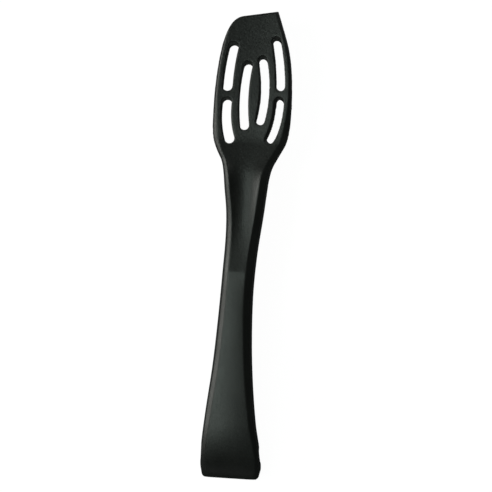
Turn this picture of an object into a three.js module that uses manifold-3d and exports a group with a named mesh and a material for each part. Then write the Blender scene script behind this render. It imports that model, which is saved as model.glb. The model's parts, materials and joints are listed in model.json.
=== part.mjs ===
// Spring-loaded kitchen tongs: two moulded nylon arms on one steel pin at the heel,
// pushed apart by a torsion spring. Millimetres, +Z up, +Y towards the tips.
// Each arm is drawn closed, with the closing plane at z = 0, its outer face up and the
// heel at y = 0. The lower arm is the mirror image and lies on its flat outer face.
import * as THREE from 'three';
import { mergeVertices } from 'three/addons/utils/BufferGeometryUtils.js';
import Module from 'manifold-3d';

const wasm = await Module();
wasm.setup();

// Driving dimensions.
const armDepth = 15.5; // closing plane to the flat outer face
const hingeY = 15.5; // pin axis, measured from the back of the heel
const heelReach = 37; // where the outer face starts to roll away towards the heel
const heelSpan = 37.6; // half length of the ellipse that it rolls along
const firstSection = 0.2; // from the back of the heel
const openAngle = THREE.MathUtils.degToRad(13); // how far the spring holds the arms apart
const gap = 0.3; // between faces that meet
const faceDip = 140; // where the closing face starts to draw back from the other arm
const faceEnd = 130; // where the flat handle face ends and the hollow of the neck starts
const roof = 2.8; // wall under the outer face
const wall = 2.6; // side walls
const originY = 80; // the model's origin lies under this point of the handle

// The tip: a pointed corner on the right and a large round on the left.
const tipCorner = new THREE.Vector2(11.6, 290.4);
const tipRoundEnd = new THREE.Vector2(-9, 286.45);
const tipRoundPull = [new THREE.Vector2(-16.2, 285.3), new THREE.Vector2(-18.9, 278.2)];
const tipRoundStart = new THREE.Vector2(-21.1, 269.5);
const loftEnd = 293; // the arm is drawn up to here, and the tip is then cut to shape

// Hinge stack, along X from the pin's head to its nut.
const hingeX = -1;
const pinRadius = 2;
const boreClearance = 0.05;
const cheekThickness = 4;
const cheekRadius = 8;
const cheekOuter = 17.4; // half the width over the two cheeks
const boreDepth = 1.6; // counterbore for the washer and the pin's head
const boreRadius = 4.4;
const earThickness = 3.4;
const earRadius = 6.5;
const sideGap = 0.4; // between cheek, ear and bush
const washerThickness = 0.5;
const washerRadius = 4;
const headRadius = 3.6;
const headHeight = 1;
const notchGap = 0.5;
const bushRadius = 4.2;
const roundSides = 32;
const pastHeel = 30; // from the hinge's middle, clear of the heel on both sides

// Torsion spring.
const wireRadius = 0.8;
const coilRadius = 5.8;
const coilHalfLength = 5.6;
const coilFullTurns = 5;
const legLength = 33;
const legAngle = THREE.MathUtils.degToRad(10); // between a leg and its arm's face

// Cross ribs inside the handle, and grooves on the gripping face.
const ribStart = 58;
const ribEnd = 150;
const ribPitch = 22;
const ribThickness = 1.8;
const ribBottom = 5.5; // above the closing plane
const grooveStart = 275;
const grooveEnd = 286;
const groovePitch = 2.2;
const grooveDepth = 0.5;

// Numbers from a start up to an end, a step apart.
function evenly(start, end, step) {
  return Array.from({ length: Math.ceil((end - start) / step) }, (_, i) => start + i * step);
}

// Smooth curve through a few [position, value] pairs, as a function.
function through(points) {
  const slope = points.map((point, i) => {
    const before = points[Math.max(i - 1, 0)];
    const after = points[Math.min(i + 1, points.length - 1)];
    return (after[1] - before[1]) / (after[0] - before[0]);
  });
  return (y) => {
    const last = points.length - 2;
    let i = 0;
    while (i < last && y > points[i + 1][0]) i += 1;
    const [y0, v0] = points[i];
    const [y1, v1] = points[i + 1];
    const span = y1 - y0;
    const t = THREE.MathUtils.clamp((y - y0) / span, 0, 1);
    const rise = (v1 - v0) * (3 - 2 * t) * t * t;
    const lean = (slope[i] * (1 - t) - slope[i + 1] * t) * t * (1 - t) * span;
    return v0 + rise + lean;
  };
}

// Plan outline of an arm: where its left and right edges lie.
const leftEdge = through([
  [3, -18], [8, -19], [20, -19.3], [40, -18], [70, -15.3], [100, -13.7], [130, -12.7],
  [150, -12.2], [166, -12.9], [180, -14.8], [190, -16.1], [197, -17.7], [204, -21.3], [211, -23.7],
  [222, -24.6], [240, -24.5], [258, -23.1], [272, -20.8], [loftEnd, -16.5],
]);
const rightEdge = through([
  [3, 17.9], [8, 18.7], [20, 16.9], [35, 13.8], [60, 10.4], [85, 8.2], [115, 7.1], [140, 8],
  [165, 10.4], [180, 11.6], [188, 12.4], [195, 14], [203, 17.8], [211, 21.6], [222, 23.3],
  [235, 23.5], [250, 22.6], [262, 20.9], [272, 18.3], [loftEnd, 10.7],
]);

// Heights above the closing plane.
const faceRim = through([
  [faceEnd, armDepth], [136, 14.5], [145, 13.2], [152, 12.5], [160, 12.1], [176, 12.1],
  [186, 11.9], [192, 10.9], [198, 8.9], [204, 7.4], [210, 6.3], [218, 6.1], [240, 5.9], [265, 5],
  [loftEnd, 3.4],
]);
const dishDepth = through([
  [faceEnd, 0], [136, 0.15], [145, 0.5], [152, 0.9], [160, 1.4], [168, 2], [176, 2.6], [186, 2.9],
  [192, 2.2], [198, 1.1], [204, 0.8], [218, 1], [240, 1], [265, 0.9], [loftEnd, 0.4],
]);
const lowerEdge = through([
  [faceDip, gap / 2], [165, 0.5], [192, 2], [205, 2.8], [215, 2.9], [240, 2.3], [265, 1.3],
  [284, 0.4], [loftEnd, gap / 2],
]);
const channelStart = 118;
const channelEnd = 207;
const channelRoof = through([
  [channelStart, armDepth - roof], [127, 12.6], [136, 11.9], [145, 10.3], [152, 9.3], [160, 8.4],
  [176, 7.2], [186, 6.6], [192, 6], [200, 4.3], [channelEnd, 3.2],
]);

// Each edge has a leaning side wall and a sloping facet above it, wider on the right.
const edges = {
  left: {
    draft: through([[20, 0.6], [60, 0.5]]),
    facet: through([
      [15, 2.3], [40, 2.9], [80, 3.2], [130, 3.1], [190, 2.6], [215, 2.4], [240, 1.4], [loftEnd, 0.8],
    ]),
    slope: 0.7,
  },
  right: {
    draft: through([[20, 0.9], [60, 0.6]]),
    facet: through([
      [15, 2.6], [40, 3.6], [80, 4.5], [130, 5], [190, 4.6], [215, 3.5], [240, 1.8], [loftEnd, 1],
    ]),
    slope: 0.62,
  },
};

// Height of the rolled heel, or of a surface inside it.
function heelHeight(inset, y) {
  const back = THREE.MathUtils.clamp((heelReach - y) / (heelSpan - inset), 0, 1);
  return (armDepth - inset) * Math.sqrt(1 - back ** 2);
}

function rimHeight(y) {
  return y < faceEnd ? heelHeight(0, y) : faceRim(y);
}

// Behind the pin the closing face slants, so that the two heels meet when the tongs are open.
function lowerHeight(y) {
  if (y < hingeY) return gap / 2 + (hingeY - y) * Math.tan(openAngle / 2);
  return y < faceDip ? gap / 2 : lowerEdge(y);
}

// The heel's corners are round in plan.
const cornerRadius = 3;
function cornerInset(y) {
  if (y > cornerRadius) return 0;
  return cornerRadius - Math.sqrt(cornerRadius ** 2 - (cornerRadius - y) ** 2);
}

// Closed surface through equal rings of points, with a fan over each end.
// A ring runs left to right over its top.
function loft(rings) {
  const count = rings[0].length;
  const points = rings.flat();
  const index = [];
  for (let i = 0; i < rings.length - 1; i += 1) {
    for (let j = 0; j < count; j += 1) {
      const a = i * count + j;
      const b = i * count + ((j + 1) % count);
      index.push(a, b, b + count, a, b + count, a + count);
    }
  }
  for (const [first, forwards] of [[0, false], [(rings.length - 1) * count, true]]) {
    const ring = points.slice(first, first + count);
    const centre = new THREE.Box3().setFromPoints(ring).getCenter(new THREE.Vector3());
    points.push(centre);
    for (let j = 0; j < count; j += 1) {
      const a = first + j;
      const b = first + ((j + 1) % count);
      index.push(points.length - 1, forwards ? a : b, forwards ? b : a);
    }
  }
  const geometry = new THREE.BufferGeometry().setFromPoints(points);
  geometry.setIndex(index);
  return geometry;
}

function toSolid(geometry) {
  geometry.deleteAttribute('normal');
  geometry.deleteAttribute('uv');
  const merged = mergeVertices(geometry);
  const vertProperties = new Float32Array(merged.attributes.position.array);
  const triVerts = new Uint32Array(merged.index.array);
  return new wasm.Manifold(new wasm.Mesh({ numProp: 3, vertProperties, triVerts }));
}

function toGeometry(solid) {
  const mesh = solid.getMesh();
  const geometry = new THREE.BufferGeometry();
  geometry.setAttribute('position', new THREE.BufferAttribute(mesh.vertProperties, 3));
  geometry.setIndex(new THREE.BufferAttribute(mesh.triVerts, 1));
  return geometry;
}

// The same body seen in the closing plane's mirror.
function mirrored(geometry) {
  const turned = geometry.clone().applyMatrix4(new THREE.Matrix4().makeScale(1, 1, -1));
  const index = turned.index.array;
  for (let i = 0; i < index.length; i += 3) {
    [index[i], index[i + 1]] = [index[i + 1], index[i]];
  }
  return turned;
}

// Places along the arm where a section is drawn, close together where the shape turns.
function stations(inset, end) {
  const heelSteps = 12;
  const span = heelSpan - inset;
  const firstTurn = Math.acos((heelReach - inset - firstSection) / span);
  const heel = Array.from({ length: heelSteps }, (_, i) => {
    return heelReach - span * Math.cos(THREE.MathUtils.lerp(firstTurn, Math.PI / 2, i / heelSteps));
  });
  const handle = [...evenly(heelReach, faceEnd, 15), faceEnd];
  const neck = [133, 136, 140, 145, 152, 160, 168, ...evenly(176, 224, 4)];
  const head = evenly(224, loftEnd, 8);
  const along = [...handle, ...neck, ...head].filter((y) => y < end);
  return [...heel, hingeY, ...along, end].sort((a, b) => a - b);
}

// Side wall and facet of one edge, from the closing face up to the rim.
function edgeProfile(edge, y, height) {
  const largestDrop = 0.4 * height; // so that a side wall is left where the arm is thin
  const draft = edge.draft(y);
  const drop = Math.min(edge.facet(y) * edge.slope, largestDrop);
  return { draft, drop, inset: draft + edge.facet(y) };
}

// Outer body: side walls, sloping facets and a face that is flat on the handle and
// hollowed along the neck and the head.
const dishSteps = 10;
function bodyRing(y) {
  const left = leftEdge(y) + cornerInset(y);
  const right = rightEdge(y) - cornerInset(y);
  const low = lowerHeight(y);
  const rim = rimHeight(y);
  const onLeft = edgeProfile(edges.left, y, rim - low);
  const onRight = edgeProfile(edges.right, y, rim - low);
  const depth = y < faceEnd ? 0 : dishDepth(y);
  const ring = [[left, low], [left + onLeft.draft, rim - onLeft.drop]];
  for (let i = 0; i <= dishSteps; i += 1) {
    const across = (2 * i) / dishSteps - 1;
    const x = THREE.MathUtils.lerp(left + onLeft.inset, right - onRight.inset, i / dishSteps);
    ring.push([x, rim - depth * (1 - across ** 2)]);
  }
  ring.push([right - onRight.draft, rim - onRight.drop], [right, low]);
  return ring.map(([x, z]) => new THREE.Vector3(x, y, z));
}

// Hollow inside the handle and neck, open towards the other arm.
const channelWidestAt = 187; // past here the head spreads and the channel keeps its width
function channelRing(y) {
  const rounding = 0.4; // the hollow follows the heel's round corners by this share
  const inset = wall + rounding * cornerInset(Math.max(y - wall, 0));
  const left = leftEdge(Math.min(y, channelWidestAt)) + inset;
  const right = rightEdge(Math.min(y, channelWidestAt)) - inset;
  const top = y < channelStart ? heelHeight(roof, y) : channelRoof(y);
  const onLeft = edgeProfile(edges.left, y, top);
  const onRight = edgeProfile(edges.right, y, top);
  const below = -1;
  return [
    [left, below], [left + onLeft.draft, top - onLeft.drop], [left + onLeft.inset, top],
    [right - onRight.inset, top], [right - onRight.draft, top - onRight.drop], [right, below],
  ].map(([x, z]) => new THREE.Vector3(x, y, z));
}

// A prism over the plan that leaves the pointed tip and its round corner.
function tipCutter() {
  const beside = 40; // clear of the arm on both sides
  const behind = -5;
  const carriedOn = 0.6; // share by which the tip's straight edge runs on past its corner
  const edge = new THREE.Vector2().subVectors(tipCorner, tipRoundEnd);
  const beyond = tipCorner.clone().addScaledVector(edge, carriedOn);
  const [nearEnd, nearStart] = tipRoundPull;
  const plan = new THREE.Shape();
  plan.moveTo(-beside, behind);
  plan.lineTo(beside, behind);
  plan.lineTo(beside, tipRoundStart.y);
  plan.lineTo(beyond.x, beyond.y);
  plan.lineTo(tipRoundEnd.x, tipRoundEnd.y);
  plan.bezierCurveTo(nearEnd.x, nearEnd.y, nearStart.x, nearStart.y, tipRoundStart.x, tipRoundStart.y);
  plan.lineTo(-beside, tipRoundStart.y);
  const depth = 2 * armDepth;
  const prism = new THREE.ExtrudeGeometry(plan, { depth, bevelEnabled: false, curveSegments: 14 });
  return toSolid(prism.translate(0, 0, -armDepth / 2));
}

// Each slot: three points of its centre line, from the heel side to the tip side, its width,
// and the lean of its walls, which is sideways travel per unit of height.
const slots = [
  { line: [[-13.4, 210.8], [-16, 221.5], [-16.4, 233.3]], width: 6.1, lean: 0.1 },
  { line: [[-16.6, 243.1], [-15.9, 255.5], [-14.2, 267.5]], width: 6.3, lean: 0.1 },
  { line: [[-4.7, 219.4], [-6.2, 238], [-4.7, 256.4]], width: 5.7, lean: 0.1 },
  { line: [[4.1, 222.9], [5.8, 241], [3.3, 260.2]], width: 5.6, lean: -0.25 },
  { line: [[15.3, 244.7], [13.9, 258.5], [11.1, 272.3]], width: 5.7, lean: -0.25 },
  { line: [[10.7, 212.1], [14, 223], [15, 235.4]], width: 5.9, lean: -0.55 },
];

// Outline of a slot: a bent strip of constant width with round ends.
const slotSteps = 10;
const slotEndSteps = 7;
function slotOutline(line, width) {
  const [start, middle, end] = line.map(([x, y]) => new THREE.Vector2(x, y));
  const control = middle.clone().multiplyScalar(2).sub(start.clone().add(end).multiplyScalar(0.5));
  const centre = new THREE.QuadraticBezierCurve(start, control, end);
  const outline = [];
  const add = (t, turn) => {
    const ahead = centre.getTangent(t);
    const offset = ahead.rotateAround(new THREE.Vector2(), turn).multiplyScalar(width / 2);
    outline.push(centre.getPoint(t).add(offset));
  };
  const quarter = Math.PI / 2;
  for (let i = 0; i <= slotSteps; i += 1) add(i / slotSteps, -quarter);
  for (let i = 1; i < slotEndSteps; i += 1) add(1, -quarter + (i / slotEndSteps) * Math.PI);
  for (let i = slotSteps; i >= 0; i -= 1) add(i / slotSteps, quarter);
  for (let i = 1; i < slotEndSteps; i += 1) add(0, quarter + (i / slotEndSteps) * Math.PI);
  return new THREE.Shape(outline);
}

function slotCutter({ line, width, lean }) {
  const [below, depth] = [2, 14]; // from under the head to above it
  const level = 6; // height where the slot has its stated place
  const prism = new THREE.ExtrudeGeometry(slotOutline(line, width), { depth, bevelEnabled: false });
  const shear = new THREE.Matrix4().set(1, 0, lean, -lean * level, 0, 1, 0, 0, 0, 0, 1, 0, 0, 0, 0, 1);
  return toSolid(prism.translate(0, 0, -below).applyMatrix4(shear));
}

// A plate across the arm: a shape in the Y-Z plane between two places on X.
function plate(shape, from, to) {
  const depth = to - from;
  const geometry = new THREE.ExtrudeGeometry(shape, { depth, bevelEnabled: false, curveSegments: 24 });
  const [alongY, alongZ, alongX] = [[0, 1, 0], [0, 0, 1], [1, 0, 0]].map((v) => new THREE.Vector3(...v));
  geometry.applyMatrix4(new THREE.Matrix4().makeBasis(alongY, alongZ, alongX));
  return toSolid(geometry.translate(from, 0, 0));
}

// A round body on the pin's axis between two places on X.
function onPin(radius, from, to) {
  const geometry = new THREE.CylinderGeometry(radius, radius, to - from, roundSides);
  geometry.rotateZ(Math.PI / 2).translate((from + to) / 2, hingeY, 0);
  return geometry;
}

// Disc around the pin.
function knuckle(radius) {
  return new THREE.Shape().absarc(hingeY, 0, radius, 0, 2 * Math.PI, false);
}

// Web that carries an ear down to the roof of the handle.
function earWeb() {
  const shape = new THREE.Shape();
  shape.moveTo(hingeY - earRadius, 0);
  shape.lineTo(hingeY + earRadius, 0);
  shape.lineTo(hingeY + 2 * earRadius, armDepth);
  shape.lineTo(hingeY - earRadius, armDepth);
  return shape;
}

// Distances from the middle of the hinge, outwards.
const cheekInner = cheekOuter - cheekThickness;
const earOuter = cheekInner - sideGap;
const earInner = earOuter - earThickness;
const bushHalf = earInner - sideGap;
const boreFloor = cheekOuter - boreDepth;
const sides = [-1, 1];

// Runs a maker from the nearer to the farther of two distances on one side of the hinge.
function onSide(side, inner, outer, make) {
  const places = [hingeX + side * inner, hingeX + side * outer].sort((a, b) => a - b);
  return make(...places);
}

// Thin walls across the hollow of the handle, to stiffen it.
function crossRibs() {
  const overlap = 0.8; // how far a rib reaches into the roof
  return evenly(ribStart, ribEnd, ribPitch).map((y) => {
    const top = (y < channelStart ? armDepth - roof : channelRoof(y)) + overlap;
    const width = rightEdge(y) - leftEdge(y) - wall;
    const geometry = new THREE.BoxGeometry(width, ribThickness, top - ribBottom);
    geometry.translate((leftEdge(y) + rightEdge(y)) / 2, y, (top + ribBottom) / 2);
    return toSolid(geometry);
  });
}

// Shallow grooves across the gripping face, just behind the tip.
function gripGroove(y) {
  const depth = 2 * (grooveDepth + lowerHeight(y));
  const length = 80; // past both edges
  const geometry = new THREE.CylinderGeometry(depth / 2, depth / 2, length, 4);
  geometry.rotateZ(Math.PI / 2);
  return toSolid(geometry.translate(0, y, 0));
}

function armBody() {
  return toSolid(loft(stations(0, loftEnd).map(bodyRing))).intersect(tipCutter());
}

function armShell(body) {
  const hollow = toSolid(loft(stations(roof, channelEnd).map(channelRing)));
  let shell = body.subtract(hollow);
  for (const rib of crossRibs()) shell = shell.add(rib.intersect(body));
  for (const slot of slots) shell = shell.subtract(slotCutter(slot));
  for (const y of evenly(grooveStart, grooveEnd, groovePitch)) shell = shell.subtract(gripGroove(y));
  return shell;
}

// Block between the planes of the side walls around the heel, carried on below the closing plane.
function heelBlock() {
  const reach = cheekRadius + 1;
  const rings = [cornerRadius, 8, 14, 20, 27, 35].map((y) => {
    const [left, right] = [leftEdge(y), rightEdge(y)];
    const [leftDraft, rightDraft] = [edges.left.draft(y), edges.right.draft(y)];
    const lean = reach / (armDepth - edges.right.facet(y) * edges.right.slope);
    return [
      [left, -reach], [left, 0], [left + leftDraft * lean, reach],
      [right - rightDraft * lean, reach], [right, 0], [right, -reach],
    ].map(([x, z]) => new THREE.Vector3(x, y, z));
  });
  return toSolid(loft(rings));
}

function pinHole() {
  return toSolid(onPin(pinRadius + boreClearance, -pastHeel, pastHeel));
}

// The upper arm carries the outer cheeks, with a counterbore for each end of the pin.
function upperArm(shell) {
  let arm = shell;
  for (const side of sides) {
    const cheek = onSide(side, cheekInner, cheekOuter, (a, b) => plate(knuckle(cheekRadius), a, b));
    arm = arm.add(cheek.intersect(heelBlock()));
    const bore = onSide(side, boreFloor, pastHeel, (a, b) => onPin(boreRadius, a, b));
    arm = arm.subtract(toSolid(bore));
  }
  return toGeometry(arm.subtract(pinHole()));
}

// The lower arm has a round notch for each cheek, and two ears between them.
function lowerArm(shell, body) {
  let arm = shell;
  for (const side of sides) {
    const notch = onSide(side, earOuter, pastHeel, (a, b) => onPin(cheekRadius + notchGap, a, b));
    const web = onSide(side, earInner, earOuter, (a, b) => plate(earWeb(), a, b));
    const ear = onSide(side, earInner, earOuter, (a, b) => plate(knuckle(earRadius), a, b));
    arm = arm.subtract(toSolid(notch)).add(web.intersect(body)).add(ear);
  }
  return mirrored(toGeometry(arm.subtract(pinHole())));
}

// A turned part: a closed profile of [distance along the pin, radius], turned on the axis.
function turned(profile, side) {
  const points = profile.map(([along, radius]) => new THREE.Vector2(radius, along));
  const geometry = new THREE.LatheGeometry(points, roundSides);
  geometry.rotateZ(-side * Math.PI / 2);
  return geometry.translate(hingeX, hingeY, 0);
}

// Domed end of a round part, from its flat back outwards, as profile points: a straight
// rim, then a quarter round that takes up part of the radius.
function dome(from, height, radius) {
  const edge = 0.4 * height;
  const roundShare = 0.45;
  const arc = [0, 0.35, 0.7, 1].map((t) => {
    const turn = (t * Math.PI) / 2;
    const inward = radius * roundShare * (1 - Math.cos(turn));
    return [from + edge + (height - edge) * Math.sin(turn), radius - inward];
  });
  return [[from, radius], ...arc, [from + height, 0]];
}

const headFrom = boreFloor + 0.1 + washerThickness + 0.1;
const pinEnd = headFrom + 0.7 * headHeight;

// Pin with a domed head on the left. Its plain end reaches into the nut on the right.
function hingePin() {
  const head = dome(headFrom, headHeight, headRadius);
  return turned([[-pinEnd, 0], [-pinEnd, pinRadius], [headFrom, pinRadius], ...head], -1);
}

// Push-on cap nut on the pin's plain end, with a blind bore.
function capNut() {
  const bore = pinRadius + boreClearance;
  const back = headFrom;
  const shell = dome(back, headHeight + 0.3, headRadius);
  return turned([[pinEnd + 0.1, 0], [pinEnd + 0.1, bore], [back, bore], ...shell], 1);
}

function washer(side) {
  const from = boreFloor + 0.1;
  const to = from + washerThickness;
  const bore = pinRadius + boreClearance;
  const ring = [[from, bore], [from, washerRadius], [to, washerRadius], [to, bore], [from, bore]];
  return turned(ring, side);
}

// Plain sleeve that keeps the coil off the pin and the two ears apart.
function springBush() {
  const bore = pinRadius + boreClearance;
  const ring = [
    [-bushHalf, bore], [-bushHalf, bushRadius], [bushHalf, bushRadius], [bushHalf, bore],
    [-bushHalf, bore],
  ];
  return turned(ring, 1);
}

// Centre line of the wire: lower leg, coil and upper leg, around the pin axis at the origin.
// Closing the tongs winds the coil up.
class SpringLine extends THREE.Curve {
  constructor() {
    super();
    this.arcLengthDivisions = 1200;
    this.startTurn = -Math.PI / 2 - legAngle;
    this.endTurn = Math.PI / 2 + openAngle + legAngle - 2 * Math.PI * (coilFullTurns + 1);
    this.coilLength = coilRadius * (this.startTurn - this.endTurn);
    this.total = this.coilLength + 2 * legLength;
  }

  onCoil(turn) {
    const done = (this.startTurn - turn) / (this.startTurn - this.endTurn);
    const x = hingeX + coilHalfLength * (2 * done - 1);
    return new THREE.Vector3(x, coilRadius * Math.cos(turn), coilRadius * Math.sin(turn));
  }

  getPoint(t) {
    const s = t * this.total;
    if (s < legLength) {
      const back = legLength - s;
      const away = new THREE.Vector3(0, Math.cos(-legAngle), Math.sin(-legAngle));
      return this.onCoil(this.startTurn).addScaledVector(away, back);
    }
    const wound = Math.min((s - legLength) / coilRadius, this.startTurn - this.endTurn);
    const point = this.onCoil(this.startTurn - wound);
    const out = Math.max(s - legLength - this.coilLength, 0);
    const rise = openAngle + legAngle;
    return point.addScaledVector(new THREE.Vector3(0, Math.cos(rise), Math.sin(rise)), out);
  }
}

function torsionSpring() {
  const section = new THREE.Shape().absarc(0, 0, wireRadius, 0, 2 * Math.PI, false);
  const options = { steps: 150, curveSegments: 4, bevelEnabled: false, extrudePath: new SpringLine() };
  return new THREE.ExtrudeGeometry(section, options);
}

const nylon = () => new THREE.MeshStandardMaterial({ color: 0x1c1f1c, roughness: 0.5, metalness: 0 });
const steel = () => new THREE.MeshStandardMaterial({ color: 0xb9bbbd, roughness: 0.3, metalness: 1 });
const spring = () => new THREE.MeshStandardMaterial({ color: 0x9a9c9f, roughness: 0.35, metalness: 1 });
const acetal = () => new THREE.MeshStandardMaterial({ color: 0xdad7cd, roughness: 0.55, metalness: 0 });

function named(name, geometry, material) {
  const mesh = new THREE.Mesh(geometry, material);
  mesh.name = name;
  return mesh;
}

// Everything is placed around the pin, which lies the arm's depth above the ground.
const tongs = new THREE.Group();
const pinFrame = new THREE.Group();
pinFrame.position.set(0, hingeY - originY, armDepth);
tongs.add(pinFrame);

const lowerSide = new THREE.Group();
lowerSide.position.y = -hingeY;
const upperSwing = new THREE.Group();
upperSwing.rotation.x = openAngle;
const upperSide = new THREE.Group();
upperSide.position.y = -hingeY;
upperSwing.add(upperSide);
pinFrame.add(lowerSide, upperSwing);

const body = armBody();
const shell = armShell(body);
upperSide.add(named('upper_arm', upperArm(shell), nylon()));
lowerSide.add(named('lower_arm', lowerArm(shell, body), nylon()));
lowerSide.add(named('hinge_pin', hingePin(), steel()));
lowerSide.add(named('cap_nut', capNut(), steel()));
lowerSide.add(named('head_washer', washer(-1), steel()));
lowerSide.add(named('nut_washer', washer(1), steel()));
lowerSide.add(named('spring_bush', springBush(), acetal()));
pinFrame.add(named('torsion_spring', torsionSpring(), spring()));

export default tongs;
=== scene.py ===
"""Spring-loaded kitchen tongs on a pale floor: finely meshed nylon arms, turned pin, wire spring."""

import json
import math

import bmesh
import bpy
import numpy as np
from mathutils import Matrix, Vector


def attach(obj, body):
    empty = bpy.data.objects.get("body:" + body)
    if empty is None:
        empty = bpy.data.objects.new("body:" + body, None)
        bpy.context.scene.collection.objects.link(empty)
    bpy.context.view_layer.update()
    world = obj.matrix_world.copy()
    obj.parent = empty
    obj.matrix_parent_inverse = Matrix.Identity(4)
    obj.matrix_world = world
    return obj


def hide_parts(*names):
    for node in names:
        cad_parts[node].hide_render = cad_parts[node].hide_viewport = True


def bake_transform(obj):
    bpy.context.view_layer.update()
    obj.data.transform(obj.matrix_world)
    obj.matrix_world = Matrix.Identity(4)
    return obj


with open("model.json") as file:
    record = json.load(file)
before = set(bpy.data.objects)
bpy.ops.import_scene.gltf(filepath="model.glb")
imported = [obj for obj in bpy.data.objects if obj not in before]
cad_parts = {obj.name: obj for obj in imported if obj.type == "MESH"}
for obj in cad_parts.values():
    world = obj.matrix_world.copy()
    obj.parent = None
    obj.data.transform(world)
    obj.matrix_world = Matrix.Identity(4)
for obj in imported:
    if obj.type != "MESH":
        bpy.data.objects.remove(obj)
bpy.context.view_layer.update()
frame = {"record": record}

MM = 0.001
UPPER, LOWER = "upper_half", "lower_half"
HINGE = frame["record"]["behaviour"]["joints"][0]
OPEN = -math.radians(HINGE["range_deg"][0])
PIN = Vector(HINGE["pos_m"])

# The arm's own drawing, in millimetres: heel at y = 0, closing plane at z = 0, outer face up.
ARM_DEPTH = 15.5  # closing plane to the flat outer face
HINGE_Y = 15.5
HEEL_REACH = 37  # where the outer face starts to roll away towards the heel
HEEL_SPAN = 37.6  # half length of the ellipse that it rolls along
FIRST_SECTION = 0.2
GAP = 0.3  # between faces that meet
FACE_END = 130  # where the handle's face ends and the hollow of the neck starts
FACE_DIP = 140  # where the closing face starts to draw back from the other arm
ROOF = 2.8  # wall under the outer face
WALL = 2.6  # side walls
LOFT_END = 293  # the arm is drawn up to here, and the tip is then cut to shape
HEEL_CORNER = 3
LARGEST_DROP = 0.4  # share of the arm's height that a facet takes up at most
CHANNEL_START = 118
CHANNEL_END = 207
CHANNEL_WIDEST_AT = 187  # past here the head spreads and the channel keeps its width
CHANNEL_ROUNDING = 0.4  # the hollow follows the heel's round corners by this share
BELOW = -1  # the channel is cut from here, under the closing plane
TIP_CORNER = (11.6, 290.4)
TIP_ROUND = [(-9, 286.45), (-16.2, 285.3), (-18.9, 278.2), (-21.1, 269.5)]
TIP_CARRIED_ON = 1.6  # the tip's straight edge runs on past its corner by this share
TIP_SIDES = (-5, 270, 260)  # where the plan's sides start, and end on the right and on the left
TIP_REACH = (-10, 30)  # from under the arm to above it
BESIDE = 40  # clear of the arm on both sides
PAST_HEEL = 30  # from the hinge's middle, clear of the heel on both sides

# Hinge stack, along X from the hinge's middle.
PIN_RADIUS = 2
PIN_BORE = PIN_RADIUS + 0.05
CHEEK_OUTER = 17.4
CHEEK_THICKNESS = 4
CHEEK_RADIUS = 8
COUNTERBORE = (1.6, 4.4)  # depth and radius
EAR_THICKNESS = 3.4
EAR_RADIUS = 6.5
SIDE_GAP = 0.4
NOTCH_GAP = 0.5
WASHER = (0.5, 4.0)  # thickness and radius
HEAD = (1.0, 3.6)  # height and radius
END_PLAY = 0.1  # on both sides of a washer
BUSH_RADIUS = 4.2
HINGE_X = PIN.x / MM

# Spring.
WIRE_RADIUS = 0.8
COIL_RADIUS = 5.8
COIL_HALF = 5.6
COIL_TURNS = 5
LEG_LENGTH = 33
LEG_ANGLE = math.radians(10)

# Each slot: three points of its centre line from heel side to tip side, width, and wall lean.
SLOTS = [
    ([(-13.4, 210.8), (-16, 221.5), (-16.4, 233.3)], 6.1, 0.1),
    ([(-16.6, 243.1), (-15.9, 255.5), (-14.2, 267.5)], 6.3, 0.1),
    ([(-4.7, 219.4), (-6.2, 238), (-4.7, 256.4)], 5.7, 0.1),
    ([(4.1, 222.9), (5.8, 241), (3.3, 260.2)], 5.6, -0.25),
    ([(15.3, 244.7), (13.9, 258.5), (11.1, 272.3)], 5.7, -0.25),
    ([(10.7, 212.1), (14, 223), (15, 235.4)], 5.9, -0.55),
]
SLOT_LEVEL = 6  # height where a slot has its stated place
SLOT_REACH = (-2, 12)  # from under the head to above it

# Cross ribs inside the handle, and grooves on the gripping face.
RIBS_AT = range(58, 150, 22)
RIB_THICKNESS = 1.8
RIB_BOTTOM = 5.5
RIB_OVERLAP = 0.8
GROOVES_AT = [275 + 2.2 * i for i in range(5)]
GROOVE_DEPTH = 0.5

# Mesh fineness.
CORNER_STEPS = 6
HEEL_STEPS = 40
VOXEL = 0.42 * MM
SMOOTHING = 5
SHARP = 0.12  # turn of the surface, in voxels, that counts as a full edge
ROUND_SIDES = 96
EVEN_STEP = 1.5  # between sections of the arm, past the heel

# Looks.
NYLON_TINTS = ((0.0075, 0.0082, 0.0075), (0.0125, 0.0135, 0.0122))
NYLON_WORN = (0.052, 0.055, 0.050)
GRAIN_STARTS = (0.04, 0.06)  # metres along Y, from the smooth grip to the grained neck
FLOOR_WHITE = 0.97  # what the camera sees
FLOOR_GLOW = 0.28  # what the floor throws up, away from the tongs
GLOW_STARTS = (0.2, 0.4)  # metres from the origin


def through(*points):
    """Smooth curve through a few (position, value) pairs, as a function."""
    at = [p[0] for p in points]
    value = [p[1] for p in points]
    last = len(points) - 1
    slope = []
    for i in range(last + 1):
        a, b = max(i - 1, 0), min(i + 1, last)
        slope.append((value[b] - value[a]) / (at[b] - at[a]))

    def curve(y):
        i = 0
        while i < last - 1 and y > at[i + 1]:
            i += 1
        span = at[i + 1] - at[i]
        t = min(max((y - at[i]) / span, 0), 1)
        rise = (value[i + 1] - value[i]) * (3 - 2 * t) * t * t
        lean = (slope[i] * (1 - t) - slope[i + 1] * t) * t * (1 - t) * span
        return value[i] + rise + lean

    return curve


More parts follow.
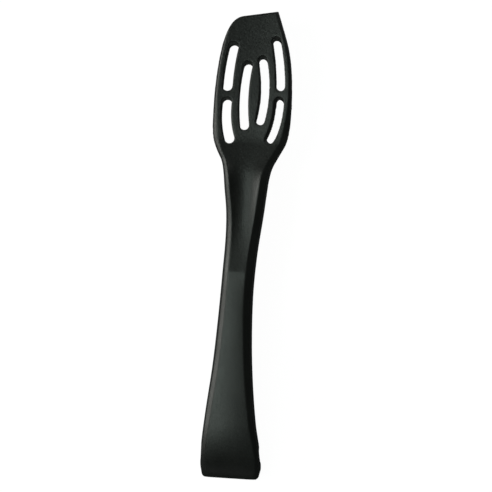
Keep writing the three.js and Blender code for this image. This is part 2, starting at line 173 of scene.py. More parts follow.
left_edge = through(
    (3, -18), (8, -19), (20, -19.3), (40, -18), (70, -15.3), (100, -13.7), (130, -12.7),
    (150, -12.2), (166, -12.9), (180, -14.8), (190, -16.1), (197, -17.7), (204, -21.3),
    (211, -23.7), (222, -24.6), (240, -24.5), (258, -23.1), (272, -20.8), (LOFT_END, -16.5),
)
right_edge = through(
    (3, 17.9), (8, 18.7), (20, 16.9), (35, 13.8), (60, 10.4), (85, 8.2), (115, 7.1), (140, 8),
    (165, 10.4), (180, 11.6), (188, 12.4), (195, 14), (203, 17.8), (211, 21.6), (222, 23.3),
    (235, 23.5), (250, 22.6), (262, 20.9), (272, 18.3), (LOFT_END, 10.7),
)
face_rim = through(
    (FACE_END, ARM_DEPTH), (136, 14.5), (145, 13.2), (152, 12.5), (160, 12.1), (176, 12.1),
    (186, 11.9), (192, 10.9), (198, 8.9), (204, 7.4), (210, 6.3), (218, 6.1), (240, 5.9), (265, 5),
    (LOFT_END, 3.4),
)
dish_depth = through(
    (FACE_END, 0), (136, 0.15), (145, 0.5), (152, 0.9), (160, 1.4), (168, 2), (176, 2.6),
    (186, 2.9), (192, 2.2), (198, 1.1), (204, 0.8), (218, 1), (240, 1), (265, 0.9), (LOFT_END, 0.4),
)
lower_edge = through(
    (FACE_DIP, GAP / 2), (165, 0.5), (192, 2), (205, 2.8), (215, 2.9), (240, 2.3), (265, 1.3),
    (284, 0.4), (LOFT_END, GAP / 2),
)
channel_roof = through(
    (CHANNEL_START, ARM_DEPTH - ROOF), (127, 12.6), (136, 11.9), (145, 10.3), (152, 9.3),
    (160, 8.4), (176, 7.2), (186, 6.6), (192, 6), (200, 4.3), (CHANNEL_END, 3.2),
)

# How far the handle's face falls away from its middle towards its edges.
face_crown = through((4, 0.3), (22, 0.9), (60, 0.45), (112, 0.25), (FACE_END, 0))

# Each edge: how far its wall leans, how wide its facet is, and the facet's slope.
LEFT_SIDE = (
    through((20, 0.6), (60, 0.5)),
    through((15, 2.3), (40, 2.9), (80, 3.2), (130, 3.1), (190, 2.6), (215, 2.4), (240, 1.4),
            (LOFT_END, 0.8)),
    0.7,
)
RIGHT_SIDE = (
    through((20, 0.9), (60, 0.6)),
    through((15, 2.6), (40, 3.6), (80, 4.5), (130, 5), (190, 4.6), (215, 3.5), (240, 1.8),
            (LOFT_END, 1)),
    0.62,
)

# How far the corner between a side wall and its facet is rounded.
LEFT_ROUND = through((45, 0.6), (85, 1.6), (190, 1.6), (LOFT_END, 0.8))
RIGHT_ROUND = through((45, 0.8), (LOFT_END, 0.8))


def spaced(start, end, count):
    """Evenly spaced numbers, both ends included."""
    return [start + (end - start) * i / (count - 1) for i in range(count)]


def heel_height(inset, y):
    """Height of the rolled heel, or of a surface inside it."""
    back = min(max((HEEL_REACH - y) / (HEEL_SPAN - inset), 0), 1)
    return (ARM_DEPTH - inset) * math.sqrt(1 - back**2)


def rim_height(y):
    return heel_height(0, y) if y < FACE_END else face_rim(y)


def lower_height(y):
    if y < HINGE_Y:
        return GAP / 2 + (HINGE_Y - y) * math.tan(OPEN / 2)
    return GAP / 2 if y < FACE_DIP else lower_edge(y)


def corner_inset(y):
    if y > HEEL_CORNER:
        return 0
    return HEEL_CORNER - math.sqrt(HEEL_CORNER**2 - (HEEL_CORNER - y) ** 2)


def edge_profile(side, y, height):
    """Lean of one side wall, drop of the facet over it, and both widths together."""
    draft, facet, slope = side
    return draft(y), min(facet(y) * slope, LARGEST_DROP * height), draft(y) + facet(y)


def round_corner(wall_foot, corner, face_edge, reach):
    """Points around the corner between a side wall and its facet."""
    foot, here, edge = Vector(wall_foot), Vector(corner), Vector(face_edge)
    start = here + (foot - here) * min(reach / (foot - here).length, 0.5)
    end = here + (edge - here) * min(reach / (edge - here).length, 0.6)
    points = []
    for t in spaced(0, 1, CORNER_STEPS):
        points.append((1 - t) ** 2 * start + 2 * t * (1 - t) * here + t * t * end)
    return points


def body_ring(y, steps=28):
    """Section through an arm's outer body: side walls, facets and the hollowed face."""
    left = left_edge(y) + corner_inset(y)
    right = right_edge(y) - corner_inset(y)
    low, rim = lower_height(y), rim_height(y)
    left_draft, left_drop, left_inset = edge_profile(LEFT_SIDE, y, rim - low)
    right_draft, right_drop, right_inset = edge_profile(RIGHT_SIDE, y, rim - low)
    depth = 0 if y < FACE_END else dish_depth(y)
    crown = face_crown(y)
    start, end = left + left_inset, right - right_inset
    left_corner = (left + left_draft, y, rim - crown - left_drop)
    right_corner = (right - right_draft, y, rim - crown - right_drop)
    left_round = round_corner((left, y, low), left_corner, (start, y, rim - crown), LEFT_ROUND(y))
    right_round = round_corner((right, y, low), right_corner, (end, y, rim - crown), RIGHT_ROUND(y))
    ring = [(left, y, low), *map(tuple, left_round)]
    for i in range(steps + 1):
        across = 2 * i / steps - 1
        height = rim - crown * across**2 - depth * (1 - across**2)
        ring.append((start + (end - start) * i / steps, y, height))
    return ring + [*map(tuple, reversed(right_round)), (right, y, low)]


def channel_ring(y):
    """Section through the hollow inside the handle and neck."""
    inset = WALL + CHANNEL_ROUNDING * corner_inset(max(y - WALL, 0))
    at = min(y, CHANNEL_WIDEST_AT)
    left, right = left_edge(at) + inset, right_edge(at) - inset
    top = heel_height(ROOF, y) if y < CHANNEL_START else channel_roof(y)
    left_draft, left_drop, left_inset = edge_profile(LEFT_SIDE, y, top)
    right_draft, right_drop, right_inset = edge_profile(RIGHT_SIDE, y, top)
    section = [
        (left, BELOW), (left + left_draft, top - left_drop), (left + left_inset, top),
        (right - right_inset, top), (right - right_draft, top - right_drop), (right, BELOW),
    ]
    return [(x, y, z) for x, z in section]


def stations(inset, end):
    """Places along the arm for a section, close together around the heel."""
    span = HEEL_SPAN - inset
    first = math.acos((HEEL_REACH - inset - FIRST_SECTION) / span)
    heel = [HEEL_REACH - span * math.cos(turn) for turn in spaced(first, math.pi / 2, HEEL_STEPS)]
    heel = sorted([*heel[:-1], HINGE_Y])
    count = round((end - HEEL_REACH) / EVEN_STEP)
    return heel + spaced(HEEL_REACH, end, count + 1)


def mesh_object(name, points, faces):
    """Mesh object from points in millimetres."""
    mesh = bpy.data.meshes.new(name)
    mesh.from_pydata([tuple(c * MM for c in p) for p in points], [], faces)
    mesh.validate()
    obj = bpy.data.objects.new(name, mesh)
    bpy.context.scene.collection.objects.link(obj)
    return obj


def loft(name, rings, closed=False):
    """Skin through equal rings, with flat ends or closed on itself."""
    count = len(rings[0])
    points = [p for ring in rings for p in ring]
    faces = []
    total = len(rings)
    for i in range(total if closed else total - 1):
        for j in range(count):
            a, b = i * count + j, i * count + (j + 1) % count
            c, d = ((i + 1) % total) * count + (j + 1) % count, ((i + 1) % total) * count + j
            faces.append((a, b, c, d))
    if not closed:
        faces.append(tuple(reversed(range(count))))
        faces.append(tuple(range((total - 1) * count, total * count)))
    return mesh_object(name, points, faces)


def prism(name, outline, low, high, shear=0.0, level=0.0):
    """Upright prism over a counter-clockwise plan outline."""
    def ring(z):
        return [(x + shear * (z - level), y, z) for x, y in outline]

    return loft(name, [ring(high), ring(low)])


def around_pin(name, profile, sides=ROUND_SIDES):
    """Body turned on the pin's axis from a closed (along, radius) profile, in the arm's drawing."""
    rings = []
    for i in range(sides):
        turn = 2 * math.pi * i / sides
        y, z = math.cos(turn), math.sin(turn)
        rings.append([(HINGE_X + x, HINGE_Y + r * y, r * z) for x, r in profile])
    return loft(name, rings, closed=True)


def outward(obj):
    """Turns a closed mesh's faces outwards and welds points that coincide."""
    work = bmesh.new()
    work.from_mesh(obj.data)
    bmesh.ops.remove_doubles(work, verts=work.verts, dist=1e-7)
    bmesh.ops.recalc_face_normals(work, faces=work.faces)
    work.to_mesh(obj.data)
    work.free()
    return obj


def bake_modifiers(obj):
    """Applies the object's modifiers to its mesh."""
    evaluated = obj.evaluated_get(bpy.context.evaluated_depsgraph_get())
    mesh = bpy.data.meshes.new_from_object(evaluated)
    obj.modifiers.clear()
    old = obj.data
    obj.data = mesh
    bpy.data.meshes.remove(old)


def cut(obj, cutter, operation="DIFFERENCE"):
    """One boolean step, after which the other body is gone."""
    step = obj.modifiers.new("cut", "BOOLEAN")
    step.operation = operation
    step.solver = "EXACT"
    step.object = outward(cutter)
    bake_modifiers(obj)
    bpy.data.objects.remove(cutter)


def tip_outline():
    """Plan that leaves the pointed tip and its large round."""
    a, b, c, d = (Vector((*p, 0)) for p in TIP_ROUND)
    round_part = []
    for t in spaced(0, 1, 24):
        s = 1 - t
        point = s**3 * a + 3 * s * s * t * b + 3 * s * t * t * c + t**3 * d
        round_part.append((point.x, point.y))
    run = [(corner - start) * TIP_CARRIED_ON for corner, start in zip(TIP_CORNER, TIP_ROUND[0])]
    beyond = (TIP_ROUND[0][0] + run[0], TIP_ROUND[0][1] + run[1])
    behind, right_end, left_end = TIP_SIDES
    sides = [(-BESIDE, behind), (BESIDE, behind), (BESIDE, right_end)]
    return [*sides, beyond, *round_part, (-BESIDE, left_end)]


def slot_outline(line, width, steps=28, end_steps=16):
    """Bent strip of constant width with round ends."""
    start, middle, end = (Vector(p) for p in line)
    control = 2 * middle - (start + end) / 2
    outline = []

    def add(t, turn):
        centre = (1 - t) ** 2 * start + 2 * t * (1 - t) * control + t * t * end
        ahead = ((1 - t) * (control - start) + t * (end - control)).normalized()
        offset = Matrix.Rotation(turn, 2) @ ahead * (width / 2)
        outline.append(tuple(centre + offset))

    quarter = math.pi / 2
    for i in range(steps + 1):
        add(i / steps, -quarter)
    for i in range(1, end_steps):
        add(1, -quarter + math.pi * i / end_steps)
    for i in range(steps, -1, -1):
        add(i / steps, quarter)
    for i in range(1, end_steps):
        add(0, quarter + math.pi * i / end_steps)
    return outline


def disc(name, radius, start, end):
    """Solid round body on the pin's axis, by its distances from the hinge's middle."""
    rings = []
    for x in (start, end):
        ring = []
        for i in range(ROUND_SIDES):
            turn = 2 * math.pi * i / ROUND_SIDES
            ring.append((HINGE_X + x, HINGE_Y + radius * math.cos(turn), radius * math.sin(turn)))
        rings.append(ring)
    return loft(name, rings)


def ear_web(name, start, end):
    """Web that carries an ear down to the handle's roof."""
    outline = [
        (-EAR_RADIUS, 0), (EAR_RADIUS, 0), (2 * EAR_RADIUS, ARM_DEPTH), (-EAR_RADIUS, ARM_DEPTH),
    ]
    rings = [[(HINGE_X + x, HINGE_Y + y, z) for y, z in outline] for x in (start, end)]
    return outward(loft(name, rings))


def sided(side, inner, outer):
    """Start and end along X of something on one side of the hinge."""
    return tuple(sorted((side * inner, side * outer)))


CHEEK_INNER = CHEEK_OUTER - CHEEK_THICKNESS
EAR_OUTER = CHEEK_INNER - SIDE_GAP
EAR_INNER = EAR_OUTER - EAR_THICKNESS
BUSH_HALF = EAR_INNER - SIDE_GAP
BORE_FLOOR = CHEEK_OUTER - COUNTERBORE[0]
PAST_CHEEK = CHEEK_OUTER + 5


def block(name, low, high):
    """Upright box between two corners."""
    outline = [(low[0], low[1]), (high[0], low[1]), (high[0], high[1]), (low[0], high[1])]
    return prism(name, outline, low[2], high[2])


def outer_body():
    """The arm without its hollow, slots and hinge."""
    body = outward(loft("outer", [body_ring(y) for y in stations(0, LOFT_END)]))
    cut(body, prism("tip", tip_outline(), *TIP_REACH), "INTERSECT")
    return body


def cross_rib(y):
    """Thin wall across the hollow of the handle, kept inside the outer surface."""
    top = (ARM_DEPTH - ROOF if y < CHANNEL_START else channel_roof(y)) + RIB_OVERLAP
    inset, half = WALL / 2, RIB_THICKNESS / 2
    low = (left_edge(y) + inset, y - half, RIB_BOTTOM)
    rib = outward(block("rib", low, (right_edge(y) - inset, y + half, top)))
    cut(rib, outer_body(), "INTERSECT")
    return rib


def grip_groove(y):
    """Four-sided bar that leaves a shallow groove across the gripping face."""
    depth = GROOVE_DEPTH + lower_height(y)
    diamond = [(y + depth, 0), (y, depth), (y - depth, 0), (y, -depth)]
    return loft("groove", [[(x, a, b) for a, b in diamond] for x in (-BESIDE, BESIDE)])


def arm_shell(name):
    """An arm with its hollow, ribs, slots and grip grooves, before its hinge is made."""
    body = outer_body()
    body.name = name
    cut(body, loft("channel", [channel_ring(y) for y in stations(ROOF, CHANNEL_END)]))
    for y in RIBS_AT:
        cut(body, cross_rib(y), "UNION")
    for line, width, lean in SLOTS:
        cut(body, prism("slot", slot_outline(line, width), *SLOT_REACH, lean, SLOT_LEVEL))
    for y in GROOVES_AT:
        cut(body, grip_groove(y))
    return body


def heel_block():
    """Block between the planes of the side walls around the heel."""
    reach = CHEEK_RADIUS + 1
    rings = []
    for y in spaced(HEEL_CORNER, 35, 22):
        left, right = left_edge(y), right_edge(y)
        lean = reach / (ARM_DEPTH - RIGHT_SIDE[1](y) * RIGHT_SIDE[2])
        left_top, right_top = left + LEFT_SIDE[0](y) * lean, right - RIGHT_SIDE[0](y) * lean
        section = [
            (left, -reach), (left, 0), (left_top, reach), (right_top, reach), (right, 0),
            (right, -reach),
        ]
        rings.append([(x, y, z) for x, z in section])
    return loft("heel_block", rings)


def finish_surface(obj):
    """Even fine mesh with softly rounded edges, as moulded."""
    remesh = obj.modifiers.new("even", "REMESH")
    remesh.mode = "VOXEL"
    remesh.voxel_size = VOXEL * 1
    bake_modifiers(obj)
    smooth = obj.modifiers.new("round", "SMOOTH")
    smooth.factor = 0.5
    smooth.iterations = SMOOTHING
    bake_modifiers(obj)
    obj.data.shade_smooth()


def edge_attribute(obj):
    """Stores how sharply the surface turns outwards at each point, for the wear along edges."""
    mesh = obj.data
    count = len(mesh.vertices)
    place = np.empty(count * 3)
    mesh.vertices.foreach_get("co", place)
    place = place.reshape(-1, 3)
    normal = np.empty(count * 3)
    mesh.vertices.foreach_get("normal", normal)
    normal = normal.reshape(-1, 3)
    ends = np.empty(len(mesh.edges) * 2, dtype=np.int64)
    mesh.edges.foreach_get("vertices", ends)
    ends = ends.reshape(-1, 2)

    def spread(values):
        total = np.zeros_like(values)
        np.add.at(total, ends[:, 0], values[ends[:, 1]])
        np.add.at(total, ends[:, 1], values[ends[:, 0]])
        near = np.bincount(ends.ravel(), minlength=count).reshape(-1, *[1] * (values.ndim - 1))
        return total / np.maximum(near, 1)

    turn = -((spread(place) - place) * normal).sum(1) / VOXEL
    for _ in range(3):
        turn = 0.5 * turn + 0.5 * spread(turn)
    wear = np.clip(turn / SHARP, 0, 1)
    attribute = mesh.attributes.new("edge", "FLOAT", "POINT")
    attribute.data.foreach_set("value", wear.astype(np.float32))


def place_arm(obj, upper):
    """Moves an arm from its own drawing to its place at rest."""
    to_pin = Matrix.Translation((0, -HINGE_Y * MM, 0))
    if upper:
        turn = Matrix.Rotation(OPEN, 4, "X")
    else:
        turn = Matrix.Scale(-1, 4, (0, 0, 1))
    home = Matrix.Translation((0, PIN.y, PIN.z))
    obj.data.transform(home @ turn @ to_pin)
    if not upper:
        obj.data.flip_normals()


def upper_arm():
    """Arm with the outer cheeks, each with a counterbore for one end of the pin."""
    arm = arm_shell("upper_arm_moulding")
    for side in (-1, 1):
        cheek = outward(disc("cheek", CHEEK_RADIUS, *sided(side, CHEEK_INNER, CHEEK_OUTER)))
        cut(cheek, heel_block(), "INTERSECT")
        cut(arm, cheek, "UNION")
        cut(arm, disc("bore", COUNTERBORE[1], *sided(side, BORE_FLOOR, PAST_CHEEK)))
    cut(arm, disc("pin_hole", PIN_BORE, -PAST_HEEL, PAST_HEEL))
    finish_surface(arm)
    edge_attribute(arm)
    place_arm(arm, True)
    return arm


def lower_arm():
    """Arm with a round notch for each cheek, and two ears between them."""
    arm = arm_shell("lower_arm_moulding")
    for side in (-1, 1):
        cut(arm, disc("notch", CHEEK_RADIUS + NOTCH_GAP, *sided(side, EAR_OUTER, PAST_HEEL)))
        ear = ear_web("ear", *sided(side, EAR_INNER, EAR_OUTER))
        cut(ear, outer_body(), "INTERSECT")
        cut(ear, disc("knuckle", EAR_RADIUS, *sided(side, EAR_INNER, EAR_OUTER)), "UNION")
        cut(arm, ear, "UNION")
    cut(arm, disc("pin_hole", PIN_BORE, -PAST_HEEL, PAST_HEEL))
    finish_surface(arm)
    edge_attribute(arm)
    place_arm(arm, False)
    return arm


def rounded(profile, radius, steps=4):
    """Closed profile with every corner rounded."""
    out = []
    count = len(profile)
    for i in range(count):
        before, here, after = (Vector(profile[(i + k) % count]) for k in (-1, 0, 1))
        a, b = before - here, after - here
        reach = min(radius, a.length * 0.45, b.length * 0.45)
        start, end = here + a.normalized() * reach, here + b.normalized() * reach
        for k in range(steps + 1):
            t = k / steps
            out.append(tuple((1 - t) ** 2 * start + 2 * t * (1 - t) * here + t * t * end))
    return out


def turned(name, profile, side=1):
    """Round part on the pin, moved to its place."""
    obj = outward(around_pin(name, [(side * x, max(r, 0.01)) for x, r in profile]))
    obj.data.transform(Matrix.Translation((0, PIN.y - HINGE_Y * MM, PIN.z)))
    obj.data.shade_smooth()
    return obj


HEAD_FROM = BORE_FLOOR + END_PLAY + WASHER[0] + END_PLAY
PIN_END = HEAD_FROM + 0.7 * HEAD[0]


def dome(start, height, radius, steps=14):
    """Domed end: a straight rim, then a quarter round that takes up part of the radius."""
    rim, round_share = 0.4 * height, 0.45
    points = [(start, radius)]
    for i in range(steps + 1):
        turn = math.pi / 2 * i / steps
        along = start + rim + (height - rim) * math.sin(turn)
        points.append((along, radius * (1 - round_share + round_share * math.cos(turn))))
    return points + [(start + height, 0)]


def hinge_pin():
    """Pin with a domed head and a chamfered plain end."""
    chamfer = 0.3
    plain_end = [(-PIN_END, 0), (-PIN_END, PIN_RADIUS - chamfer), (-PIN_END + chamfer, PIN_RADIUS)]
    profile = [*plain_end, (HEAD_FROM, PIN_RADIUS), *dome(HEAD_FROM, *HEAD)]
    return turned("hinge_pin_turned", profile, -1)


def cap_nut():
    """Push-on cap over the pin's plain end, a little higher than the pin's own head."""
    height = HEAD[0] + 0.3
    bore_end = PIN_END + END_PLAY
    profile = [(bore_end, 0), (bore_end, PIN_BORE), (HEAD_FROM, PIN_BORE)]
    return turned("cap_nut_pressed", profile + dome(HEAD_FROM, height, HEAD[1]))


def washer(name, side):
    start = BORE_FLOOR + END_PLAY
    end = start + WASHER[0]
    ring = [(start, PIN_BORE), (start, WASHER[1]), (end, WASHER[1]), (end, PIN_BORE)]
    return turned(name, rounded(ring, 0.12), side)


def spring_bush():
    half = BUSH_HALF
    ring = [(-half, PIN_BORE), (-half, BUSH_RADIUS), (half, BUSH_RADIUS), (half, PIN_BORE)]
    return turned("spring_bush_moulded", rounded(ring, 0.35))


def wire_rings(path, sides=16):
    """Round sections along a path, drawn in at both ends as sheared wire is."""
    count = len(path)
    rings = []
    across = Vector((1, 0, 0))
    end_share, end_length = 0.8, 0.2
    for i, point in enumerate(path):
        ahead = (path[min(i + 1, count - 1)] - path[max(i - 1, 0)]).normalized()
        across = (across - ahead * across.dot(ahead)).normalized()
        up = ahead.cross(across)
        turns = [2 * math.pi * k / sides for k in range(sides)]
        spokes = [(across * math.cos(a) + up * math.sin(a)) * WIRE_RADIUS for a in turns]
        ring = [point + spoke for spoke in spokes]
        if i == 0:
            rings.append([point + spoke * end_share for spoke in spokes])
            ring = [p + ahead * end_length for p in ring]
        if i == count - 1:
            ring = [p - ahead * end_length for p in ring]
        rings.append(ring)
        if i == count - 1:
            rings.append([point + spoke * end_share for spoke in spokes])
    return rings


def spring():
    """Wire coil around the pin with a straight leg to each arm."""
    first = -math.pi / 2 - LEG_ANGLE
    last = math.pi / 2 + OPEN + LEG_ANGLE - 2 * math.pi * (COIL_TURNS + 1)

    def on_coil(turn):
        done = (first - turn) / (first - last)
        y, z = COIL_RADIUS * math.cos(turn), COIL_RADIUS * math.sin(turn)
        return Vector((COIL_HALF * (2 * done - 1), y, z))

    low_way = Vector((0, math.cos(LEG_ANGLE), -math.sin(LEG_ANGLE)))
    high_way = Vector((0, math.cos(OPEN + LEG_ANGLE), math.sin(OPEN + LEG_ANGLE)))
    path = [on_coil(first) + low_way * s for s in spaced(LEG_LENGTH, 1.2, 12)]
    path += [on_coil(turn) for turn in spaced(first, last, 420)]
    path += [on_coil(last) + high_way * s for s in spaced(1.2, LEG_LENGTH, 12)]
    rings = wire_rings(path)
    rings = [[(p.x + HINGE_X, p.y, p.z) for p in ring] for ring in rings]
    obj = outward(loft("spring_wire", rings))
    obj.data.transform(Matrix.Translation((0, PIN.y, PIN.z)))
    obj.data.shade_smooth()
    return obj


def new_material(name):
    material = bpy.data.materials.new(name)
    material.use_nodes = True
    nodes = material.node_tree.nodes
    return material, nodes, material.node_tree.links, nodes["Principled BSDF"]


def noise(nodes, links, vector, scale, detail=3.0, rough=0.5):
    node = nodes.new("ShaderNodeTexNoise")
    node.inputs["Scale"].default_value = scale
    node.inputs["Detail"].default_value = detail
    node.inputs["Roughness"].default_value = rough
    links.new(vector, node.inputs["Vector"])
    return node.outputs["Fac"]


def remap(nodes, links, value, low, high, to_low, to_high):
    node = nodes.new("ShaderNodeMapRange")
    for key, number in (("From Min", low), ("From Max", high), ("To Min", to_low), ("To Max", to_high)):
        node.inputs[key].default_value = number
    links.new(value, node.inputs["Value"])
    return node.outputs["Result"]


def combine(nodes, links, operation, a, b):
    node = nodes.new("ShaderNodeMath")
    node.operation = operation
    for slot, value in zip(node.inputs, (a, b)):
        if isinstance(value, (int, float)):
            slot.default_value = value
        else:
            links.new(value, slot)
    return node.outputs[0]


def mix_colour(nodes, links, factor, dark, light):
    node = nodes.new("ShaderNodeMix")
    node.data_type = "RGBA"
    links.new(factor, node.inputs["Factor"])
    for key, colour in (("A", dark), ("B", light)):
        slot = [s for s in node.inputs if s.name == key and s.type == "RGBA"][0]
        if isinstance(colour, tuple):
            slot.default_value = (*colour, 1)
        else:
            links.new(colour, slot)
    return [s for s in node.outputs if s.type == "RGBA"][0]


def add_bump(nodes, links, shader, height, distance, strength=1.0):
    node = nodes.new("ShaderNodeBump")
    node.inputs["Strength"].default_value = strength
    node.inputs["Distance"].default_value = distance
    links.new(height, node.inputs["Height"])
    links.new(node.outputs["Normal"], shader.inputs["Normal"])


def stretched(nodes, links, vector, scale):
    node = nodes.new("ShaderNodeMapping")
    node.inputs["Scale"].default_value = scale
    links.new(vector, node.inputs["Vector"])
    return node.outputs["Vector"]


def nylon_material():
    """Black glass-filled nylon: satin grip, grained neck and head, flow marks, greyed edges."""
    material, nodes, links, shader = new_material("black_nylon")
    place = nodes.new("ShaderNodeTexCoord").outputs["Object"]
    grain = noise(nodes, links, place, 2600, 2, 0.6)
    pores = noise(nodes, links, place, 650, 4, 0.65)
    flow = noise(nodes, links, stretched(nodes, links, place, (60, 16, 60)), 1.0, 4, 0.6)
    cloud = noise(nodes, links, place, 38, 3, 0.5)
    scratch = noise(nodes, links, stretched(nodes, links, place, (2400, 90, 2400)), 1.0, 2, 0.5)
    edge = nodes.new("ShaderNodeAttribute")
    edge.attribute_name = "edge"
    patchy = remap(nodes, links, pores, 0.42, 0.62, 0.15, 1)
    worn = combine(nodes, links, "MULTIPLY", edge.outputs["Fac"], patchy)
    tint = mix_colour(nodes, links, remap(nodes, links, flow, 0.35, 0.65, 0, 1), *NYLON_TINTS)
    greyed = combine(nodes, links, "MULTIPLY", worn, 0.12)
    colour = mix_colour(nodes, links, greyed, tint, NYLON_WORN)
    links.new(colour, shader.inputs["Base Color"])
    rough = remap(nodes, links, cloud, 0.3, 0.7, 0.36, 0.44)
    rough = combine(nodes, links, "ADD", rough, remap(nodes, links, scratch, 0.66, 0.8, 0, 0.12))
    rough = combine(nodes, links, "ADD", rough, combine(nodes, links, "MULTIPLY", worn, 0.08))
    mottle = noise(nodes, links, place, 700, 2, 0.6)
    rough = combine(nodes, links, "ADD", rough, remap(nodes, links, mottle, 0.35, 0.65, -0.04, 0.04))
    links.new(rough, shader.inputs["Roughness"])
    shader.inputs["IOR"].default_value = 1.53
    parts = nodes.new("ShaderNodeSeparateXYZ")
    links.new(place, parts.inputs[0])
    coarse = remap(nodes, links, parts.outputs["Y"], *GRAIN_STARTS, 1.6, 4.5)
    height = combine(nodes, links, "ADD", combine(nodes, links, "MULTIPLY", grain, 0.6),
                     combine(nodes, links, "MULTIPLY", pores, coarse))
    height = combine(nodes, links, "SUBTRACT", height, remap(nodes, links, scratch, 0.7, 0.82, 0, 0.7))
    add_bump(nodes, links, shader, height, 0.00004, 0.8)
    return material


def steel_material(name, colour, along, rough):
    """Bright steel with tool or drawing marks along or around the part."""
    material, nodes, links, shader = new_material(name)
    place = nodes.new("ShaderNodeTexCoord").outputs["Object"]
    marks = noise(nodes, links, stretched(nodes, links, place, along), 1.0, 3, 0.6)
    cloud = noise(nodes, links, place, 260, 3, 0.5)
    shader.inputs["Metallic"].default_value = 1
    light = tuple(min(c * 1.18, 1) for c in colour)
    links.new(mix_colour(nodes, links, cloud, colour, light), shader.inputs["Base Color"])
    total = combine(nodes, links, "ADD", remap(nodes, links, marks, 0.3, 0.7, rough - 0.06, rough + 0.08),
                    remap(nodes, links, cloud, 0.4, 0.7, 0, 0.06))
    links.new(total, shader.inputs["Roughness"])
    add_bump(nodes, links, shader, marks, 0.00001, 0.5)
    return material


def acetal_material():
    """Natural white acetal: waxy, slightly translucent."""
    material, nodes, links, shader = new_material("white_acetal")
    place = nodes.new("ShaderNodeTexCoord").outputs["Object"]
    cloud = noise(nodes, links, place, 180, 3, 0.5)
    grain = noise(nodes, links, place, 1800, 2, 0.5)
    tint = mix_colour(nodes, links, cloud, (0.70, 0.68, 0.60), (0.80, 0.78, 0.71))
    links.new(tint, shader.inputs["Base Color"])
    links.new(remap(nodes, links, cloud, 0.3, 0.7, 0.42, 0.55), shader.inputs["Roughness"])
    shader.inputs["Subsurface Weight"].default_value = 0.15
    shader.inputs["Subsurface Radius"].default_value = (0.002, 0.002, 0.0015)
    add_bump(nodes, links, shader, grain, 0.00002, 0.5)
    return material


def floor_material():
    """White paper, lit on its own for the camera. Near the tongs it throws little light back up."""
    material, nodes, links, shader = new_material("pale_floor")
    place = nodes.new("ShaderNodeTexCoord").outputs["Object"]
    cloud = noise(nodes, links, place, 3, 3, 0.5)
    tint = mix_colour(nodes, links, cloud, (0.10, 0.10, 0.10), (0.12, 0.12, 0.12))
    links.new(tint, shader.inputs["Base Color"])
    links.new(remap(nodes, links, cloud, 0.3, 0.7, 0.75, 0.85), shader.inputs["Roughness"])
    shader.inputs["Specular IOR Level"].default_value = 0.1
    shader.inputs["Emission Color"].default_value = (1, 1, 1, 1)
    seen = nodes.new("ShaderNodeLightPath").outputs["Is Camera Ray"]
    away = nodes.new("ShaderNodeVectorMath")
    away.operation = "LENGTH"
    links.new(place, away.inputs[0])
    glow = remap(nodes, links, away.outputs["Value"], *GLOW_STARTS, 0, FLOOR_GLOW)
    unseen = combine(nodes, links, "MULTIPLY", combine(nodes, links, "SUBTRACT", 1, seen), glow)
    white = combine(nodes, links, "MULTIPLY", seen, FLOOR_WHITE)
    links.new(combine(nodes, links, "ADD", white, unseen), shader.inputs["Emission Strength"])
    return material


def dress(obj, material, body, node):
    obj.data.materials.clear()
    obj.data.materials.append(material)
    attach(obj, body)
    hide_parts(node)


nylon = nylon_material()
bright = steel_material("bright_steel", (0.56, 0.57, 0.58), (6000, 300, 300), 0.26)
wire = steel_material("spring_steel", (0.34, 0.35, 0.36), (900, 900, 900), 0.32)
acetal = acetal_material()

dress(upper_arm(), nylon, UPPER, "upper_arm")
dress(lower_arm(), nylon, LOWER, "lower_arm")
dress(hinge_pin(), bright, LOWER, "hinge_pin")
dress(cap_nut(), bright, LOWER, "cap_nut")
dress(washer("head_washer_ring", -1), bright, LOWER, "head_washer")
dress(washer("nut_washer_ring", 1), bright, LOWER, "nut_washer")
dress(spring_bush(), acetal, LOWER, "spring_bush")
coil = spring()
coil.data.materials.append(wire)
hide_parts("torsion_spring")
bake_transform(coil)


def make_floor():
    half = 3.0
    mesh = bpy.data.meshes.new("floor")
    corners = [(-half, -half, 0), (half, -half, 0), (half, half, 0), (-half, half, 0)]
    mesh.from_pydata(corners, [], [(0, 1, 2, 3)])
    floor = bpy.data.objects.new("floor", mesh)
    bpy.context.scene.collection.objects.link(floor)
    floor.data.materials.append(floor_material())


def area_light(name, place, aim, size, power, colour):
    light = bpy.data.lights.new(name, "AREA")
    light.color = colour
    light.shape = "RECTANGLE"
    light.size, light.size_y = size
    light.energy = power
    obj = bpy.data.objects.new(name, light)
    bpy.context.scene.collection.objects.link(obj)
    obj.location = place
    obj.rotation_euler = (Vector(aim) - Vector(place)).to_track_quat("-Z", "Y").to_euler()


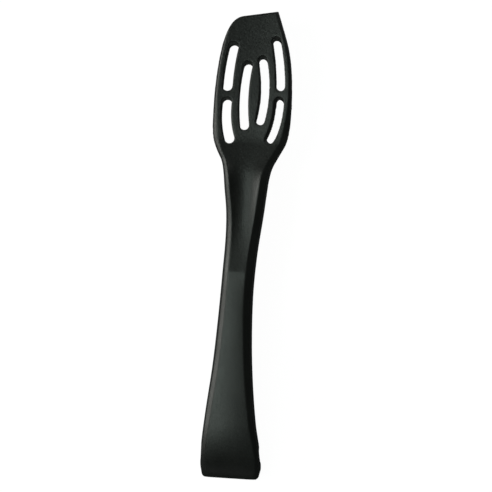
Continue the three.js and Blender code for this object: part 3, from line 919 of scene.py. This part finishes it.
def make_camera():
    """Camera square to the plane between the arms, slightly from the right."""
    lean = math.radians(3.67)  # the tongs lean to the right in the frame
    aside = math.radians(0.4)
    past_square = math.radians(0.6)  # from square to the plane between the arms, towards the heel
    lens, sensor, span = 480, 36, 0.3035
    distance = span * lens / sensor
    aim_y, aim_x = 144 - HINGE_Y, 0.7
    tilt = Matrix.Rotation(OPEN / 2 + past_square, 3, "X")
    aim = PIN + tilt @ Vector((aim_x * MM - PIN.x, aim_y * MM, 8 * MM))
    normal = tilt @ Vector((math.sin(aside), 0, math.cos(aside)))
    up = tilt @ Vector((0, 1, 0))
    right = up.cross(normal).normalized()
    up = normal.cross(right)
    turned_up = up * math.cos(lean) - right * math.sin(lean)
    turned_right = right * math.cos(lean) + up * math.sin(lean)
    camera = bpy.data.cameras.new("camera")
    camera.lens, camera.sensor_width = lens, sensor
    camera.clip_start, camera.clip_end = 0.05, 50
    obj = bpy.data.objects.new("camera", camera)
    bpy.context.scene.collection.objects.link(obj)
    axes = Matrix((turned_right, turned_up, normal)).transposed().to_4x4()
    obj.matrix_world = Matrix.Translation(aim + normal * distance) @ axes
    bpy.context.scene.camera = obj


def make_world():
    world = bpy.data.worlds.new("studio")
    world.use_nodes = True
    background = world.node_tree.nodes["Background"]
    background.inputs["Color"].default_value = (1, 1, 1, 1)
    background.inputs["Strength"].default_value = 0.01
    bpy.context.scene.world = world


make_floor()
make_world()
area_light("softbox_left", (-0.9, 0.05, 0.42), (0, 0.05, 0.02), (0.6, 0.6), 5, (0.98, 1, 0.94))
area_light("softbox_top", (-0.18, -0.17, 0.58), (0, 0, 0.02), (0.35, 0.35), 1.1, (0.86, 1, 0.92))
area_light("softbox_back", (0.4, 0.8, 0.5), (0, 0.05, 0.02), (0.6, 0.5), 1.8, (0.96, 1, 0.97))
area_light("softbox_front", (-0.15, -1.1, 0.14), (0, 0, 0.03), (0.8, 0.2), 0.15, (0.96, 1, 0.97))
make_camera()
bpy.context.scene.view_settings.view_transform = "Standard"
